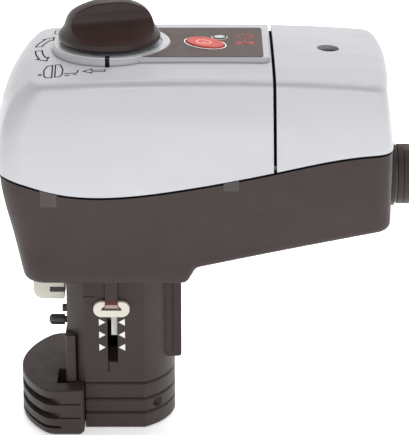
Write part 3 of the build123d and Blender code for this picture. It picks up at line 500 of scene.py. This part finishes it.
# ------------------------------------------------------------------ painted shade in the parting gap and the seam
def parting_shade_strip():
    """A black strip drawn as the seal's edge, which paints the shade between the covers and the lower
    housing.

    In each direction the housing's wall is found first, and then the covers' edge above it,
    which gives the height for the next look at the wall. The places that are tried for the
    edge, in millimetres out from the wall, are fewer each time.
    """
    housing = tree_of(("lower_housing",))
    covers = tree_of(("main_cover", "terminal_cover"))
    middle = Vector((38.0 * MM, 0.0, 0.0))
    directions = 720
    outside = 0.2  # each look at the wall starts this far from the middle, in metres
    first_level = 0.112
    top_level = 0.14  # what is found higher up isn't the parting line
    under_covers = 0.085
    below_edge = 0.8  # in millimetres
    wide = [0.25 + 0.5 * i for i in range(20)]
    rings = []
    for i in range(directions):
        angle = math.pi * i / (directions // 2)
        way = Vector((math.cos(angle), math.sin(angle), 0.0))
        level = first_level
        for reaches in (wide, wide[:4], wide[:2], wide[:1], wide[:1]):
            far = middle + way * outside
            far.z = level - below_edge * MM
            wall, out = housing.ray_cast(far, -way)[:2]
            edges = []
            if wall is None:
                break
            out = Vector((out.x, out.y, 0.0)).normalized()
            for reach in reaches:
                spot = wall + out * reach * MM
                spot.z = under_covers
                edge = covers.ray_cast(spot, Vector((0.0, 0.0, 1.0)))[0]
                if edge is not None:
                    edges.append(edge.z)
            if not edges:
                break
            level = min(edges)
        if not edges or level > top_level:
            continue
        ring = []
        for grow, down in (
            (SHADE_STRIP_FACE, SHADE_STRIP_TOP),
            (SHADE_STRIP_FACE, SHADE_STRIP_FOOT),
            (SHADE_STRIP_BACK, SHADE_STRIP_FOOT),
            (SHADE_STRIP_BACK, SHADE_STRIP_TOP),
        ):
            corner = wall + out * grow * MM
            corner.z = level - down * MM
            ring.append(corner)
        rings.append(ring)
    # painted shade: the black strip stands in for the shade in the gap under the covers
    add_band("parting_shade_strip", rings, "gap_shade_black", closed=True)


def seam_shade_strip():
    """A black strip at the bottom of the seam between the two covers, which paints the seam's shade.

    The terminal cover's tongue lies under the seam; since the seam leans, each point
    is looked for again at the height where it was found.
    """
    tongue = tree_of(("terminal_cover",))
    steps = 240
    outside = 0.2  # each look starts this far from the hub, in metres
    first_level = 0.145
    rings = []
    for i in range(steps + 1):
        angle = math.radians(2.0 + 176.0 * i / steps)
        way = Vector((0.0, -math.cos(angle), math.sin(angle)))
        level = first_level
        for _ in range(3):
            x = SEAM_X - (level - SEAM_FOOT) * SEAM_LEAN
            hit = tongue.ray_cast(Vector((x, 0.0, SEAM_HUB)) + way * outside, -way)[0]
            if hit is None:
                break
            level = hit.z
        if hit is None:
            continue
        ring = []
        for across, out in ((-0.6, 0.15), (0.6, 0.15), (0.6, 0.02), (-0.6, 0.02)):
            ring.append(hit + Vector((across * MM, 0.0, 0.0)) + way * out * MM)
        rings.append(ring)
    # painted shade: the black strip darkens the seam where its shade falls
    add_band("seam_shade_strip", rings, "gap_shade_black", closed=False)


# ------------------------------------------------------------------ what is seen in two openings
def release_pin():
    """The dark pin that is seen in the release button's slot."""
    low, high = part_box("release_button")
    x0, x1 = low[0] + 7.1 * MM, high[0] - 0.2 * MM
    y0, y1 = low[1] + 0.1 * MM, high[1] - 0.1 * MM
    corners = ((x0, y0), (x1, y0), (x1, y1), (x0, y1))
    verts = [(x, y, z) for z in RELEASE_PIN for x, y in corners]
    add_piece("release_pin", verts, BLOCK_FACES, "knob_plastic", "release_button")


def carrier_flag():
    """The colored field on the carrier, seen in the notch of the indicator clip."""
    for name, finish, low, high, half_low, half_high in (
        ("flag_red", "flag_red", 58.6, 60.4, 2.3, 2.5),
        ("flag_pink", "ink_pale", 57.0, 58.6, 3.1, 2.3),
    ):
        corners = ((-half_low, low), (half_low, low), (half_high, high), (-half_high, high))
        verts = []
        for y in (FLAG_FACE + 0.05, FLAG_FACE - 0.12):
            verts.extend((x * MM, y * MM, z * MM) for x, z in corners)
        add_piece(name, verts, BLOCK_FACES, finish, "spindle")


# ------------------------------------------------------------------ springs and dome
def coil(name, node, axis, turns, wire, anchor_high):
    """A helical spring in the place of a CAD node.

    axis is 0 for X and 2 for Z, wire is the wire's radius in metres, and anchor_high picks
    the end where an anchor point is put, which nothing uses.
    """
    low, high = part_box(node)
    others = [i for i in range(3) if i != axis]
    centre = [(low[i] + high[i]) / 2 for i in others]
    radius = (high[others[0]] - low[others[0]]) / 2 - wire
    start, end = low[axis] + wire, high[axis] - wire
    sides = 8
    steps = int(turns * 28)
    flat = 0.6  # how much of a turn lies flat at each end
    verts, faces = [], []
    for s in range(steps + 1):
        share = s / steps
        rise = min(1.0, max(0.0, (share * turns - flat) / (turns - 2 * flat)))
        angle = 2 * math.pi * turns * share
        for k in range(sides):
            phi = 2 * math.pi * k / sides
            out = radius + wire * math.cos(phi)
            spot = [0.0, 0.0, 0.0]
            spot[axis] = start + (end - start) * rise + wire * math.sin(phi)
            spot[others[0]] = centre[0] + out * math.cos(angle)
            spot[others[1]] = centre[1] + out * math.sin(angle)
            verts.append(spot)
    for s in range(steps):
        for k in range(sides):
            a, b = s * sides + k, s * sides + (k + 1) % sides
            faces.append((a, a + sides, b + sides, b))
    faces.append(tuple(range(sides)))
    faces.append(tuple(range(steps * sides + sides - 1, steps * sides - 1, -1)))
    spring = add_piece(name, verts, faces, "screw_steel", "casing", smooth=True)
    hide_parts(node)
    anchor = [0.0, 0.0, 0.0]
    anchor[axis] = high[axis] if anchor_high else low[axis]
    anchor[others[0]], anchor[others[1]] = centre
    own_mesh(spring)


def soft_dome():
    """The rubber dome under the function button, as a copy of the CAD node's mesh."""
    node = NODES["button_dome"]
    dome = bpy.data.objects.new("soft_dome", node.data.copy())
    scene.collection.objects.link(dome)
    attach(dome, "casing")
    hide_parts("button_dome")
    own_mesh(dome)


make_camera()
make_studio()
make_floor()
paint_nodes()
print_arrows()
print_coupling()
print_frame_and_mark()
print_controls()
print_valve()
parting_shade_strip()
seam_shade_strip()
release_pin()
carrier_flag()
soft_dome()
coil(
    "plunger_coil", "plunger_spring", axis=0, turns=5.0, wire=0.32 * MM,
    anchor_high=False,
)
coil(
    "release_coil", "release_spring", axis=2, turns=4.0, wire=0.45 * MM,
    anchor_high=True,
)
